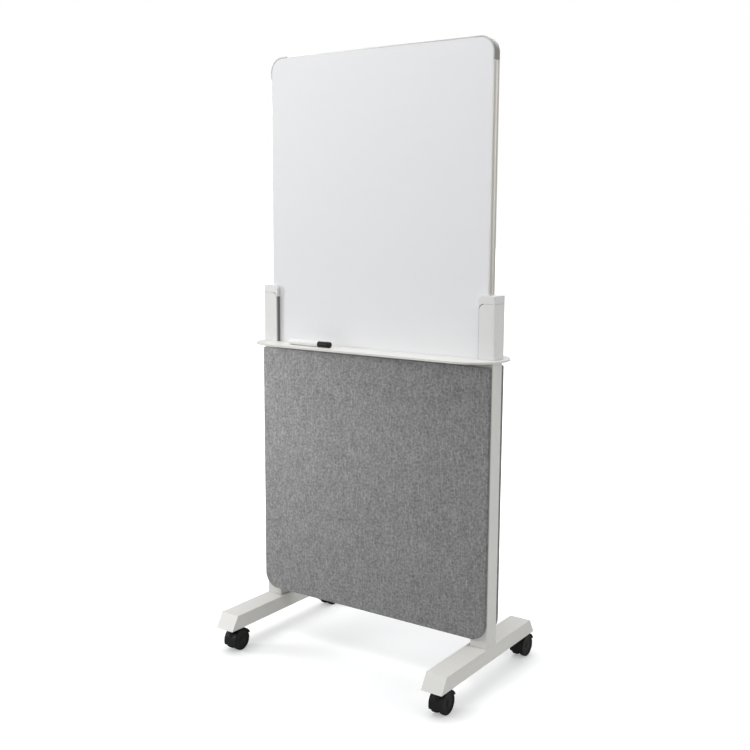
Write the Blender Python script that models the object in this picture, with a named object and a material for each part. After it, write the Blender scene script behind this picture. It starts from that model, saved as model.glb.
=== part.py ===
"""Rolling whiteboard: a lift-out board on a castor stand with a tray and two felt panels.

Metres, +Z up.  The front faces -Y, left is -X, and the floor is z = 0 under the middle
of the footprint.  Everything is placed from the middle plane of the posts.
"""

import math

import bmesh
import bpy
from mathutils import Matrix, Vector

# ---------------------------------------------------------------- driving dimensions

GAP = 0.0003                    # between two pieces that touch
SIDES = ((-1, "left"), (1, "right"))
FACES = ((-1, "front"), (1, "rear"))

BOARD_WIDTH = 0.700
BOARD_HEIGHT = 0.790
BOARD_THICKNESS = 0.027
BOARD_CORNER = 0.040
EDGE_DEPTH = 0.010              # how far the edge profile reaches into the board
EDGE_LIP = 0.003                # seen on the writing face
EDGE_GROOVE_WIDTH = 0.006
EDGE_GROOVE_DEPTH = 0.0015
SHEET_THICKNESS = 0.0012
CORNER_LEG = 0.017              # straight part of a corner piece
CORNER_PROUD = 0.0004           # how far a corner piece stands proud of the profiles

POST_REACH = 0.020              # from each end of the board to the outer face of its post
POST_SIZE = 0.050
POST_WALL = 0.002
POST_CORNER = 0.0025
POST_BASE = 0.006               # plate welded across the bottom of the post
TOP_PLUG_HEIGHT = 0.022

FOOT_WIDTH = 0.060
FOOT_HEIGHT = 0.040
FOOT_WALL = 0.002
FOOT_LENGTH = 0.4974            # along its underside
FOOT_SLOPE = 0.0243             # how far the top is shorter at each end
END_BLOCK_MARGIN = 0.0215       # from a castor's axis in to the hollow

WHEEL_RADIUS = 0.030
WHEEL_WIDTH = 0.0145
TYRE_EDGE = 0.003               # rounding of the outer edge
TYRE_THICKNESS = 0.0075
WHEEL_DISH = 0.0017             # depth of the outer face inside the rim
HUB_CAP_RADIUS = 0.008
WEB_THICKNESS = 0.0084
WEB_CLEARANCE = 0.0005
HOOD_THICKNESS = 0.003
HOOD_OVERHANG = 0.0008          # past the outer face of each wheel
FENDER_CLEARANCE = 0.001        # between the hood and the tyre
HOOD_REAR_ANGLE = 25            # degrees above the axle where the fender ends behind
HOOD_FRONT_ANGLE = 200
HUB_RADIUS = 0.011
HUB_REAR_ANGLE = 225            # the hood runs round under the axle between these
HUB_FRONT_ANGLE = 325
AXLE_RADIUS = 0.003
AXLE_REACH = 0.010              # into each wheel
CASTOR_TRAIL = 0.0215           # from the swivel axis back to the axle
CASTOR_INSET = 0.0322           # from the end of the foot to the swivel axis
CASTOR_HEADROOM = 0.012         # from the top of the wheels to the foot
STEM_RADIUS = 0.004
STEM_COLLAR_RADIUS = 0.009
STEM_COLLAR_HEIGHT = 0.0017
STEM_DEPTH = 0.030              # into the foot
STEM_SOCKET_DEPTH = 0.0125      # into the boss of the hood
BOSS_RADIUS = 0.011
BOSS_OVER_AXLE = 0.006          # from the height of the axle up to the bottom of the boss

TRAY_TOP = 0.867
TRAY_THICKNESS = 0.005
TRAY_OVERHANG = 0.023           # past the outer face of each post
TRAY_DEPTH = 0.200
TRAY_SLOT_CLEARANCE = 0.0035    # round the board, each end

BRACKET_PROUD = 0.004           # outer face, past the outer face of the post
BRACKET_MARGIN = 0.0005         # before and behind the post
BRACKET_HEIGHT = 0.139
BRACKET_EDGE = 0.004
TAB_OVERLAP = 0.022             # how far a tab reaches over the board
TAB_CORNER = 0.016
BOARD_PLAY = 0.001              # each side of the board in a bracket
CAP_OVERHANG = 0.004            # past the inner edge of a tab
CAP_HEIGHT = 0.021
CAP_CORNER = 0.013
CAP_SEAT_CORNER = 0.011

TIE_BOLT_INSET = 0.008          # from the outer face of the post
TIE_BOLT_Y = 0.016
TIE_BOLT_RADIUS = 0.0025
TIE_BOLT_HEAD_RADIUS = 0.0045
TIE_BOLT_HEAD_HEIGHT = 0.005
TIE_BOLT_BITE = 0.0167          # into the plug of the post
COUNTERBORE_DEPTH = 0.007

FOOT_BOLT_Y = 0.012
FOOT_BOLT_RADIUS = 0.004
FOOT_BOLT_HEAD_RADIUS = 0.0065
FOOT_BOLT_HEAD_HEIGHT = 0.0075
FOOT_BOLT_ACCESS_RADIUS = 0.009

RAIL_OVER_SLOT = 0.0005         # deeper than the slot in the tray, each side
RAIL_HEIGHT = 0.030
RAIL_WALL = 0.002
LOWER_RAIL_LIFT = 0.015         # above the lower edge of the felt

FELT_INSET = 0.001              # from the outer face of the post
FELT_HEADROOM = 0.0125          # under the tray
FELT_LIFT = 0.023               # above the feet
FELT_THICKNESS = 0.009
FELT_CORNER = 0.045
FELT_TOP_CORNER = 0.003
HOOK_TAPE_WIDTH = 0.025
HOOK_TAPE_THICKNESS = 0.0018
HOOK_TAPE_MARGIN = 0.060        # from the ends of the felt panel

MARKER_CENTRE_X = -0.179
MARKER_Y = -0.062
MARKER_LENGTH = 0.142
MARKER_CAP_LENGTH = 0.040
MARKER_CAP_RADIUS = 0.008
MARKER_CAP_WALL = 0.0012
MARKER_BARREL_RADIUS = 0.0075
MARKER_NECK_RADIUS = 0.005
MARKER_NIB_RADIUS = 0.002
MARKER_NIB_LENGTH = 0.009
MARKER_CONE = 0.003             # from the neck down to the nib
MARKER_EDGE = 0.0015            # bevel at the closed end of the cap
MARKER_CAP_FLOOR = 0.004

# ---------------------------------------------------------------- what follows from them

STAND_WIDTH = BOARD_WIDTH + 2 * POST_REACH
POST_X = STAND_WIDTH / 2 - POST_SIZE / 2
FOOT_X = STAND_WIDTH / 2 - FOOT_WIDTH / 2
FOOT_TOP_LENGTH = FOOT_LENGTH - 2 * FOOT_SLOPE

CASTOR_SPACING = FOOT_LENGTH - 2 * CASTOR_INSET
CASTOR_HEIGHT = 2 * WHEEL_RADIUS + CASTOR_HEADROOM
FOOT_HOLLOW_LENGTH = CASTOR_SPACING - 2 * END_BLOCK_MARGIN
RIM_RADIUS = WHEEL_RADIUS - TYRE_THICKNESS
HOOD_RADIUS = WHEEL_RADIUS + FENDER_CLEARANCE + HOOD_THICKNESS
HOOD_WIDTH = WEB_THICKNESS + 2 * (WEB_CLEARANCE + WHEEL_WIDTH + HOOD_OVERHANG)
BOSS_TOP = CASTOR_HEIGHT - STEM_COLLAR_HEIGHT - 2 * GAP
BOSS_BOTTOM = WHEEL_RADIUS + BOSS_OVER_AXLE
STEM_SOCKET_FLOOR = BOSS_TOP - STEM_SOCKET_DEPTH
SWIVEL_Y = CASTOR_SPACING / 2

FOOT_TOP = CASTOR_HEIGHT + FOOT_HEIGHT
POST_BOTTOM = FOOT_TOP + GAP
TRAY_BOTTOM = TRAY_TOP - TRAY_THICKNESS
POST_TOP = TRAY_BOTTOM - GAP
TRAY_LENGTH = STAND_WIDTH + 2 * TRAY_OVERHANG
BOARD_BOTTOM = POST_TOP + GAP + CORNER_PROUD
SLOT_HALF = BOARD_THICKNESS / 2 + BOARD_PLAY
SLOT_END = BOARD_WIDTH / 2 + TRAY_SLOT_CLEARANCE - BOARD_PLAY
RAIL_DEPTH = 2 * (SLOT_HALF + RAIL_OVER_SLOT)

BRACKET_OUTER = STAND_WIDTH / 2 + BRACKET_PROUD
BRACKET_DEPTH = POST_SIZE + 2 * BRACKET_MARGIN
BRACKET_TAB_INNER = BOARD_WIDTH / 2 - TAB_OVERLAP
BRACKET_TOP = TRAY_TOP + BRACKET_HEIGHT
CAP_TAB_INNER = BRACKET_TAB_INNER - CAP_OVERHANG
CAP_TOP = BRACKET_TOP + CAP_HEIGHT
CAP_SKIRT = BRACKET_TOP - CAP_SEAT_CORNER
TIE_BOLT_X = STAND_WIDTH / 2 - TIE_BOLT_INSET
TIE_BOLT_FOOT = POST_TOP - TIE_BOLT_BITE

FELT_WIDTH = STAND_WIDTH - 2 * FELT_INSET
FELT_TOP = TRAY_BOTTOM - FELT_HEADROOM
FELT_BOTTOM = FOOT_TOP + FELT_LIFT
LOWER_RAIL_BOTTOM = FELT_BOTTOM + LOWER_RAIL_LIFT

FOOTPRINT_REAR = SWIVEL_Y + CASTOR_TRAIL + HOOD_RADIUS * math.cos(math.radians(HOOD_REAR_ANGLE))
FOOTPRINT_FRONT = FOOT_LENGTH / 2
POST_PLANE_Y = (FOOTPRINT_FRONT - FOOTPRINT_REAR) / 2

SMALL_ROUND = 16                # sides of a bolt or pin
WHEEL_ROUND = 24
CORNER_STEPS = 8
EDGE_STEPS = 3                  # round the upright edges of the posts and brackets
HOOD_STEPS = 18
HUB_STEPS = 6
SHARP_ANGLE = math.radians(35)
CLEAR = 0.005                   # how far a cutter runs past what it cuts


# ---------------------------------------------------------------- shapes

def clear_scene():
    for old in list(bpy.data.objects):
        bpy.data.objects.remove(old, do_unlink=True)


def arc(centre, radius, start, end, steps=CORNER_STEPS):
    """Points along an arc, in degrees, both ends included."""
    angles = [math.radians(start + (end - start) * i / steps) for i in range(steps + 1)]
    return [(centre[0] + radius * math.cos(a), centre[1] + radius * math.sin(a)) for a in angles]


def rounded_rectangle(low, high, radii, steps=CORNER_STEPS):
    """Outline through the corners bottom right, top right, top left, bottom left."""
    right = ((high[0], low[1], -90), (high[0], high[1], 0))
    corners = right + ((low[0], high[1], 90), (low[0], low[1], 180))
    inward = ((-1, 1), (-1, -1), (1, -1), (1, 1))
    outline = []
    for (x, y, start), (dx, dy), radius in zip(corners, inward, radii):
        centre = (x + dx * radius, y + dy * radius)
        outline += arc(centre, radius, start, start + 90, steps)
    return outline


def rectangle(low, high):
    return [(low[0], low[1]), (high[0], low[1]), (high[0], high[1]), (low[0], high[1])]


def along(axis, a, b, depth):
    """A point from its two outline coordinates and its place along the axis."""
    if axis == "X":
        return Vector((depth, a, b))
    if axis == "Y":
        return Vector((a, depth, b))
    return Vector((a, b, depth))


def prism(outline, axis, start, end):
    """A closed outline carried along an axis."""
    bm = bmesh.new()
    first = [bm.verts.new(along(axis, a, b, start)) for a, b in outline]
    last = [bm.verts.new(along(axis, a, b, end)) for a, b in outline]
    bm.faces.new(first)
    bm.faces.new(last)
    for i in range(len(outline)):
        j = (i + 1) % len(outline)
        bm.faces.new((first[i], first[j], last[j], last[i]))
    bmesh.ops.recalc_face_normals(bm, faces=bm.faces)
    return bm


def block(x, y, z):
    """A box from three (low, high) pairs."""
    return prism(rectangle((x[0], y[0]), (x[1], y[1])), "Z", z[0], z[1])


def turned(profile, axis="Z", sides=SMALL_ROUND):
    """A solid of revolution from (radius, place along the axis) points; ends on the axis close it."""
    bm = bmesh.new()
    rings = []
    for radius, place in profile:
        if radius == 0:
            rings.append([bm.verts.new((0, 0, place))])
            continue
        angles = [2 * math.pi * i / sides for i in range(sides)]
        rings.append([bm.verts.new((radius * math.cos(a), radius * math.sin(a), place)) for a in angles])
    for lower, upper in zip(rings, rings[1:]):
        for i in range(sides):
            j = (i + 1) % sides
            corners = [lower[i % len(lower)], lower[j % len(lower)]]
            corners += [upper[j % len(upper)], upper[i % len(upper)]]
            bm.faces.new(list(dict.fromkeys(corners)))
    if axis == "X":
        bmesh.ops.rotate(bm, verts=bm.verts, matrix=Matrix.Rotation(math.pi / 2, 3, "Y"))
    bmesh.ops.recalc_face_normals(bm, faces=bm.faces)
    return bm


def cylinder(radius, start, end, axis="Z", centre=(0, 0, 0), sides=SMALL_ROUND):
    bm = turned([(0, start), (radius, start), (radius, end), (0, end)], axis, sides)
    bmesh.ops.translate(bm, verts=bm.verts, vec=centre)
    return bm


def swept(path, section):
    """A section carried along a path in the XZ plane; each path point has its outward direction.

    A section point is (depth below the outer line, y).
    """
    bm = bmesh.new()
    rings = []
    for point, outward in path:
        places = [point - outward * depth + Vector((0, y, 0)) for depth, y in section]
        rings.append([bm.verts.new(place) for place in places])
    for lower, upper in zip(rings, rings[1:]):
        for i in range(len(section)):
            j = (i + 1) % len(section)
            bm.faces.new((lower[i], lower[j], upper[j], upper[i]))
    bm.faces.new(rings[0])
    bm.faces.new(rings[-1])
    bmesh.ops.recalc_face_normals(bm, faces=bm.faces)
    return bm


# ---------------------------------------------------------------- objects

def finish(name, colour, roughness, metallic=0.0):
    made = bpy.data.materials.new(name)
    made.use_nodes = True
    surface = made.node_tree.nodes["Principled BSDF"]
    surface.inputs["Base Color"].default_value = (*colour, 1.0)
    surface.inputs["Roughness"].default_value = roughness
    surface.inputs["Metallic"].default_value = metallic
    return made


def place(name, bm, material, parent, location=(0, 0, 0), smooth=False):
    mesh = bpy.data.meshes.new(name)
    bm.to_mesh(mesh)
    bm.free()
    if smooth:
        mesh.shade_smooth()
        mesh.set_sharp_from_angle(angle=SHARP_ANGLE)
    piece = bpy.data.objects.new(name, mesh)
    bpy.context.scene.collection.objects.link(piece)
    piece.location = location
    piece.parent = parent
    if material:
        mesh.materials.append(material)
    return piece


def anchor(name, location, parent=None):
    empty = bpy.data.objects.new(name, None)
    bpy.context.scene.collection.objects.link(empty)
    empty.location = location
    empty.parent = parent
    return empty


def combine(target, label, operation, shapes):
    """Cut separate shapes from a piece, or add them to it."""
    joined = bmesh.new()
    for shape in shapes:
        scratch = bpy.data.meshes.new("scratch")
        shape.to_mesh(scratch)
        shape.free()
        joined.from_mesh(scratch)
        bpy.data.meshes.remove(scratch)
    tool = place(target.name + "_" + label, joined, None, target.parent, target.location)
    tool.hide_render = True
    tool.display_type = "WIRE"
    change = target.modifiers.new(label, "BOOLEAN")
    change.operation = operation
    change.solver = "EXACT"
    change.object = tool


def cut(target, label, *shapes):
    combine(target, label, "DIFFERENCE", shapes)


def add(target, label, *shapes):
    combine(target, label, "UNION", shapes)


def mirrored(values, side):
    """A (low, high) pair on one side of the stand."""
    return tuple(sorted(side * value for value in values))


# ---------------------------------------------------------------- stand

def foot(side, label, stand, paint):
    """A tube with sloping ends, solid above the castors."""
    half, top_half = FOOT_LENGTH / 2, FOOT_TOP_LENGTH / 2
    outline = [(-half, CASTOR_HEIGHT), (half, CASTOR_HEIGHT), (top_half, FOOT_TOP), (-top_half, FOOT_TOP)]
    body = place(label + "_foot", prism(outline, "X", -FOOT_WIDTH / 2, FOOT_WIDTH / 2), paint, stand,
                 (side * FOOT_X, 0, 0))
    inside_x = (-FOOT_WIDTH / 2 + FOOT_WALL, FOOT_WIDTH / 2 - FOOT_WALL)
    inside_y = (-FOOT_HOLLOW_LENGTH / 2, FOOT_HOLLOW_LENGTH / 2)
    inside_z = (CASTOR_HEIGHT + FOOT_WALL, FOOT_TOP - FOOT_WALL)
    cut(body, "hollow", block(inside_x, inside_y, inside_z))
    bolt_x = side * (POST_X - FOOT_X)
    holes = []
    for end, _ in FACES:
        holes.append(cylinder(STEM_RADIUS + GAP, CASTOR_HEIGHT - CLEAR, CASTOR_HEIGHT + STEM_DEPTH + GAP,
                              centre=(0, end * SWIVEL_Y, 0)))
        holes.append(cylinder(FOOT_BOLT_ACCESS_RADIUS, CASTOR_HEIGHT - CLEAR, inside_z[0] + CLEAR,
                              centre=(bolt_x, end * FOOT_BOLT_Y, 0)))
        holes.append(cylinder(FOOT_BOLT_RADIUS + GAP, inside_z[1] - CLEAR, FOOT_TOP + CLEAR,
                              centre=(bolt_x, end * FOOT_BOLT_Y, 0)))
    cut(body, "holes", *holes)


def foot_bolt(side, end, label, stand, steel):
    """Stands inside the foot and screws up into the base plate of the post."""
    seat = FOOT_TOP - FOOT_WALL - GAP
    tip = POST_BOTTOM + POST_BASE
    profile = [(0, seat - FOOT_BOLT_HEAD_HEIGHT), (FOOT_BOLT_HEAD_RADIUS, seat - FOOT_BOLT_HEAD_HEIGHT),
               (FOOT_BOLT_HEAD_RADIUS, seat), (FOOT_BOLT_RADIUS, seat), (FOOT_BOLT_RADIUS, tip), (0, tip)]
    place(label + "_foot_bolt", turned(profile), steel, stand, (side * POST_X, end * FOOT_BOLT_Y, 0), True)


def post(side, label, stand, paint):
    """A square tube, closed at the bottom by its base plate and open at the top."""
    half = POST_SIZE / 2
    outline = rounded_rectangle((-half, -half), (half, half), [POST_CORNER] * 4, EDGE_STEPS)
    body = place(label + "_post", prism(outline, "Z", POST_BOTTOM, POST_TOP), paint, stand,
                 (side * POST_X, 0, 0), True)
    inside = (-half + POST_WALL, half - POST_WALL)
    cut(body, "hollow", block(inside, inside, (POST_BOTTOM + POST_BASE, POST_TOP + CLEAR)))
    low, high = POST_BOTTOM - CLEAR, POST_BOTTOM + POST_BASE + CLEAR
    spots = [(0, end * FOOT_BOLT_Y, 0) for end, _ in FACES]
    cut(body, "bolt_holes", *[cylinder(FOOT_BOLT_RADIUS + GAP, low, high, centre=spot) for spot in spots])


def post_plug(side, label, stand, plastic):
    """Fills the top of the post and takes the tie bolts of the bracket."""
    half = POST_SIZE / 2 - POST_WALL - GAP
    bottom = POST_TOP - TOP_PLUG_HEIGHT
    shape = block((-half, half), (-half, half), (bottom, POST_TOP))
    plug = place(label + "_post_plug", shape, plastic, stand, (side * POST_X, 0, 0))
    spots = [(side * (TIE_BOLT_X - POST_X), end * TIE_BOLT_Y, 0) for end, _ in FACES]
    bore = TIE_BOLT_RADIUS + GAP
    low, high = bottom - CLEAR, POST_TOP + CLEAR
    cut(plug, "bolt_holes", *[cylinder(bore, low, high, centre=spot) for spot in spots])


def rail(name, bottom, stand, paint):
    """A tube between the inner faces of the posts."""
    reach = POST_X - POST_SIZE / 2 - GAP
    half = RAIL_DEPTH / 2
    tube = place(name, block((-reach, reach), (-half, half), (bottom, bottom + RAIL_HEIGHT)), paint, stand)
    cut(tube, "hollow", block((-reach - CLEAR, reach + CLEAR), (-half + RAIL_WALL, half - RAIL_WALL),
                              (bottom + RAIL_WALL, bottom + RAIL_HEIGHT - RAIL_WALL)))


def felt_panel(face, label, stand, felt):
    half = FELT_WIDTH / 2
    near = POST_SIZE / 2 + GAP + HOOK_TAPE_THICKNESS + GAP
    depth = mirrored((near, near + FELT_THICKNESS), face)
    radii = [FELT_CORNER, FELT_TOP_CORNER, FELT_TOP_CORNER, FELT_CORNER]
    outline = rounded_rectangle((-half, FELT_BOTTOM), (half, FELT_TOP), radii)
    place(label + "_felt_panel", prism(outline, "Y", *depth), felt, stand, smooth=True)


def hook_tape(face, side, label, stand, tape):
    """Holds a felt panel on one post."""
    near = POST_SIZE / 2 + GAP
    depth = mirrored((near, near + HOOK_TAPE_THICKNESS), face)
    half = HOOK_TAPE_WIDTH / 2
    height = (FELT_BOTTOM + HOOK_TAPE_MARGIN, FELT_TOP - HOOK_TAPE_MARGIN)
    place(label + "_hook_tape", block((-half, half), depth, height), tape, stand, (side * POST_X, 0, 0))


def tray(stand, paint):
    """A plate with round ends and a slot that the board stands in."""
    radius = TRAY_DEPTH / 2
    straight = TRAY_LENGTH / 2 - radius
    steps = 2 * CORNER_STEPS
    outline = arc((straight, 0), radius, -90, 90, steps) + arc((-straight, 0), radius, 90, 270, steps)
    plate = place("tray", prism(outline, "Z", TRAY_BOTTOM, TRAY_TOP), paint, stand, smooth=True)
    below, above = TRAY_BOTTOM - CLEAR, TRAY_TOP + CLEAR
    openings = [block((-SLOT_END, SLOT_END), (-SLOT_HALF, SLOT_HALF), (below, above))]
    for side, _ in SIDES:
        for end, _ in FACES:
            openings.append(cylinder(TIE_BOLT_RADIUS + GAP, below, above,
                                     centre=(side * TIE_BOLT_X, end * TIE_BOLT_Y, 0)))
    cut(plate, "openings", *openings)


# ---------------------------------------------------------------- brackets

def channel_outline(side, tab_inner):
    """The C section of a bracket: an outer wall with a tab before and behind the board."""
    half = BRACKET_DEPTH / 2
    across = BRACKET_OUTER - BRACKET_EDGE
    rear = arc((across, half - BRACKET_EDGE), BRACKET_EDGE, 0, 90, EDGE_STEPS)
    front = arc((across, -half + BRACKET_EDGE), BRACKET_EDGE, -90, 0, EDGE_STEPS)
    slot = [(tab_inner, half), (tab_inner, SLOT_HALF), (SLOT_END, SLOT_HALF), (SLOT_END, -SLOT_HALF),
            (tab_inner, -SLOT_HALF), (tab_inner, -half)]
    return [(side * x, y) for x, y in front + rear + slot]


def corner_cutter(side, tab_inner, top, radius):
    """What rounding the inner top corner of the tabs takes away."""
    round_edge = arc((tab_inner + radius, top - radius), radius, 180, 90)
    past, above = tab_inner - CLEAR, top + CLEAR
    outside = [(tab_inner + radius, above), (past, above), (past, top - radius)]
    outline = [(side * x, z) for x, z in round_edge + outside]
    return prism(outline, "Y", -BRACKET_DEPTH, BRACKET_DEPTH)


def bracket(side, label, stand, plastic):
    """Stands on the tray over a post and holds one edge of the board."""
    bottom = TRAY_TOP + GAP
    outline = channel_outline(side, BRACKET_TAB_INNER)
    body = place(label + "_bracket", prism(outline, "Z", bottom, BRACKET_TOP), plastic, stand, smooth=True)
    cut(body, "corner", corner_cutter(side, BRACKET_TAB_INNER, BRACKET_TOP, TAB_CORNER))
    spots = [(side * TIE_BOLT_X, end * TIE_BOLT_Y, 0) for end, _ in FACES]
    seat = BRACKET_TOP - COUNTERBORE_DEPTH
    bore, head = TIE_BOLT_RADIUS + GAP, TIE_BOLT_HEAD_RADIUS + GAP
    low, high = bottom - CLEAR, seat + CLEAR / 2
    cut(body, "bolt_holes", *[cylinder(bore, low, high, centre=spot) for spot in spots])
    cut(body, "counterbores", *[cylinder(head, seat, BRACKET_TOP + CLEAR, centre=spot) for spot in spots])


def bracket_cap(side, label, stand, plastic):
    """Covers the tie bolts; its inner edge reaches down round the corner of the tabs."""
    shape = prism(channel_outline(side, CAP_TAB_INNER), "Z", CAP_SKIRT, CAP_TOP)
    cap = place(label + "_bracket_cap", shape, plastic, stand, smooth=True)
    cut(cap, "corner", corner_cutter(side, CAP_TAB_INNER, CAP_TOP, CAP_CORNER))
    centre = (BRACKET_TAB_INNER + CAP_SEAT_CORNER, BRACKET_TOP - CAP_SEAT_CORNER)
    past, below = BRACKET_OUTER + CLEAR, CAP_SKIRT - CLEAR
    round_edge = arc(centre, CAP_SEAT_CORNER + GAP, 180, 90)
    floor = [(past, BRACKET_TOP + GAP), (past, below), (BRACKET_TAB_INNER - GAP, below)]
    seat = [(side * x, z) for x, z in round_edge + floor]
    cut(cap, "seat", prism(seat, "Y", -BRACKET_DEPTH, BRACKET_DEPTH))


def tie_bolt(side, end, label, stand, steel):
    """Clamps a bracket and the tray onto the plug of a post."""
    seat = BRACKET_TOP - COUNTERBORE_DEPTH + GAP
    head_top = seat + TIE_BOLT_HEAD_HEIGHT
    profile = [(0, TIE_BOLT_FOOT), (TIE_BOLT_RADIUS, TIE_BOLT_FOOT), (TIE_BOLT_RADIUS, seat),
               (TIE_BOLT_HEAD_RADIUS, seat), (TIE_BOLT_HEAD_RADIUS, head_top), (0, head_top)]
    spot = (side * TIE_BOLT_X, end * TIE_BOLT_Y, 0)
    place(label + "_tie_bolt", turned(profile), steel, stand, spot, True)


# ---------------------------------------------------------------- board

def sheet(face, label, board, coating):
    margin = EDGE_LIP + GAP
    half = BOARD_WIDTH / 2 - margin
    depth = mirrored((BOARD_THICKNESS / 2 - SHEET_THICKNESS, BOARD_THICKNESS / 2), face)
    outline = rounded_rectangle((-half, margin), (half, BOARD_HEIGHT - margin), [BOARD_CORNER - margin] * 4)
    place(label + "_writing_sheet", prism(outline, "Y", *depth), coating, board, smooth=True)


def board_core(board, honeycomb):
    margin = EDGE_DEPTH + GAP
    half = BOARD_WIDTH / 2 - margin
    depth = BOARD_THICKNESS / 2 - SHEET_THICKNESS - GAP
    outline = rounded_rectangle((-half, margin), (half, BOARD_HEIGHT - margin), [BOARD_CORNER - margin] * 4)
    place("board_core", prism(outline, "Y", -depth, depth), honeycomb, board, smooth=True)


def edge_section(groove, proud=0.0):
    """Half of the edge goes behind the sheets, and two lips frame them."""
    outer = BOARD_THICKNESS / 2 + proud
    inner = BOARD_THICKNESS / 2 - SHEET_THICKNESS - GAP
    face = [(-proud, -outer)]
    if groove:
        half = EDGE_GROOVE_WIDTH / 2
        deep = EDGE_GROOVE_DEPTH
        face += [(0, -half - deep), (deep, -half), (deep, half), (0, half + deep)]
    face += [(-proud, outer)]
    rear_lip = [(EDGE_LIP, outer), (EDGE_LIP, inner)]
    front_lip = [(EDGE_LIP, -inner), (EDGE_LIP, -outer)]
    return face + rear_lip + [(EDGE_DEPTH, inner), (EDGE_DEPTH, -inner)] + front_lip


def edge_profile(name, start, end, outward, board, aluminium):
    path = [(Vector(point), Vector(outward)) for point in (start, end)]
    place(name, swept(path, edge_section(True)), aluminium, board)


def corner_piece(name, x_side, z_side, board, plastic):
    """A quarter turn with a short straight leg at each end."""
    across, up = BOARD_WIDTH / 2 - BOARD_CORNER, BOARD_HEIGHT / 2 - BOARD_CORNER
    centre = Vector((x_side * across, 0, BOARD_HEIGHT / 2 + z_side * up))
    path = [(centre + Vector((x_side * BOARD_CORNER, 0, -z_side * CORNER_LEG)), Vector((x_side, 0, 0)))]
    for i in range(CORNER_STEPS + 1):
        turn = math.pi / 2 * i / CORNER_STEPS
        outward = Vector((x_side * math.cos(turn), 0, z_side * math.sin(turn)))
        path.append((centre + outward * BOARD_CORNER, outward))
    path.append((centre + Vector((-x_side * CORNER_LEG, 0, z_side * BOARD_CORNER)), Vector((0, 0, z_side))))
    place(name, swept(path, edge_section(False, CORNER_PROUD)), plastic, board, smooth=True)


def whiteboard(stand, finishes):
    board = anchor("board_lift", (0, 0, BOARD_BOTTOM), stand)
    board_core(board, finishes["honeycomb"])
    for face, label in FACES:
        sheet(face, label, board, finishes["writing"])
    half = BOARD_WIDTH / 2
    reach = BOARD_CORNER + CORNER_LEG + GAP
    for side, label in SIDES:
        x = side * half
        edge_profile(label + "_edge_profile", (x, 0, reach), (x, 0, BOARD_HEIGHT - reach), (side, 0, 0),
                     board, finishes["aluminium"])
    for label, z, outward in (("bottom", 0, -1), ("top", BOARD_HEIGHT, 1)):
        edge_profile(label + "_edge_profile", (reach - half, 0, z), (half - reach, 0, z), (0, 0, outward),
                     board, finishes["aluminium"])
        for side, side_label in SIDES:
            corner_piece(label + "_" + side_label + "_corner", side, outward, board, finishes["corner"])


# ---------------------------------------------------------------- castors

def castor_stem(name, swivel, stand, steel):
    """Fixed in the foot; the hood turns on its lower end."""
    foot, tip = STEM_SOCKET_FLOOR + GAP, CASTOR_HEIGHT + STEM_DEPTH
    collar = CASTOR_HEIGHT - GAP
    under = collar - STEM_COLLAR_HEIGHT
    profile = [(0, foot), (STEM_RADIUS, foot), (STEM_RADIUS, under), (STEM_COLLAR_RADIUS, under),
               (STEM_COLLAR_RADIUS, collar), (STEM_RADIUS, collar), (STEM_RADIUS, tip), (0, tip)]
    place(name + "_stem", turned(profile), steel, stand, (*swivel, 0), True)


def castor_hood(name, swivel, stand, plastic):
    """A web between the wheels with a fender over them; its origin is on the swivel axis."""
    axle = (CASTOR_TRAIL, WHEEL_RADIUS)
    outline = arc(axle, HOOD_RADIUS, HOOD_REAR_ANGLE, HOOD_FRONT_ANGLE, HOOD_STEPS)
    outline += arc(axle, HUB_RADIUS, HUB_REAR_ANGLE, HUB_FRONT_ANGLE, HUB_STEPS)
    half = HOOD_WIDTH / 2
    hood = place(name + "_hood", prism(outline, "X", -half, half), plastic, stand, (*swivel, 0), True)
    add(hood, "boss", cylinder(BOSS_RADIUS, BOSS_BOTTOM, BOSS_TOP, sides=WHEEL_ROUND))
    web = WEB_THICKNESS / 2
    inside = HOOD_RADIUS - HOOD_THICKNESS
    axle_centre = (0, *axle)
    wells = [mirrored((web, half + CLEAR), side) for side, _ in SIDES]
    fine = 2 * WHEEL_ROUND
    cut(hood, "wheel_wells", *[cylinder(inside, *well, "X", axle_centre, fine) for well in wells])
    cut(hood, "stem_socket", cylinder(STEM_RADIUS + GAP, STEM_SOCKET_FLOOR, BOSS_TOP + CLEAR))
    cut(hood, "axle_hole", cylinder(AXLE_RADIUS + GAP, -HOOD_WIDTH, HOOD_WIDTH, "X", axle_centre))
    return hood


def castor_axle(name, hood, steel):
    half = WEB_THICKNESS / 2 + WEB_CLEARANCE + AXLE_REACH
    pin = cylinder(AXLE_RADIUS, -half, half, "X")
    place(name + "_axle", pin, steel, hood, (0, CASTOR_TRAIL, WHEEL_RADIUS), True)


def castor_wheel(side, name, hood, plastic):
    """A wheel with a blind bore toward the web and a dished outer face."""
    radius, width = WHEEL_RADIUS, WHEEL_WIDTH
    bore = AXLE_RADIUS + GAP
    bore_end = AXLE_REACH + 2 * GAP
    dish, cap = width - WHEEL_DISH, width - WHEEL_DISH / 2
    hub = [(0, bore_end), (bore, bore_end), (bore, 0)]
    tread = [(radius - TYRE_EDGE / 2, 0), (radius, TYRE_EDGE / 2), (radius, width - TYRE_EDGE),
             (radius - TYRE_EDGE, width)]
    outer_face = [(RIM_RADIUS, width), (RIM_RADIUS - WHEEL_DISH, dish), (HUB_CAP_RADIUS, dish),
                  (HUB_CAP_RADIUS - WHEEL_DISH / 2, cap), (0, cap)]
    inner_face = WEB_THICKNESS / 2 + WEB_CLEARANCE
    placed = [(ring, side * (inner_face + place_x)) for ring, place_x in hub + tread + outer_face]
    place(name, turned(placed, "X", WHEEL_ROUND), plastic, hood, (0, CASTOR_TRAIL, WHEEL_RADIUS), True)


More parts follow.
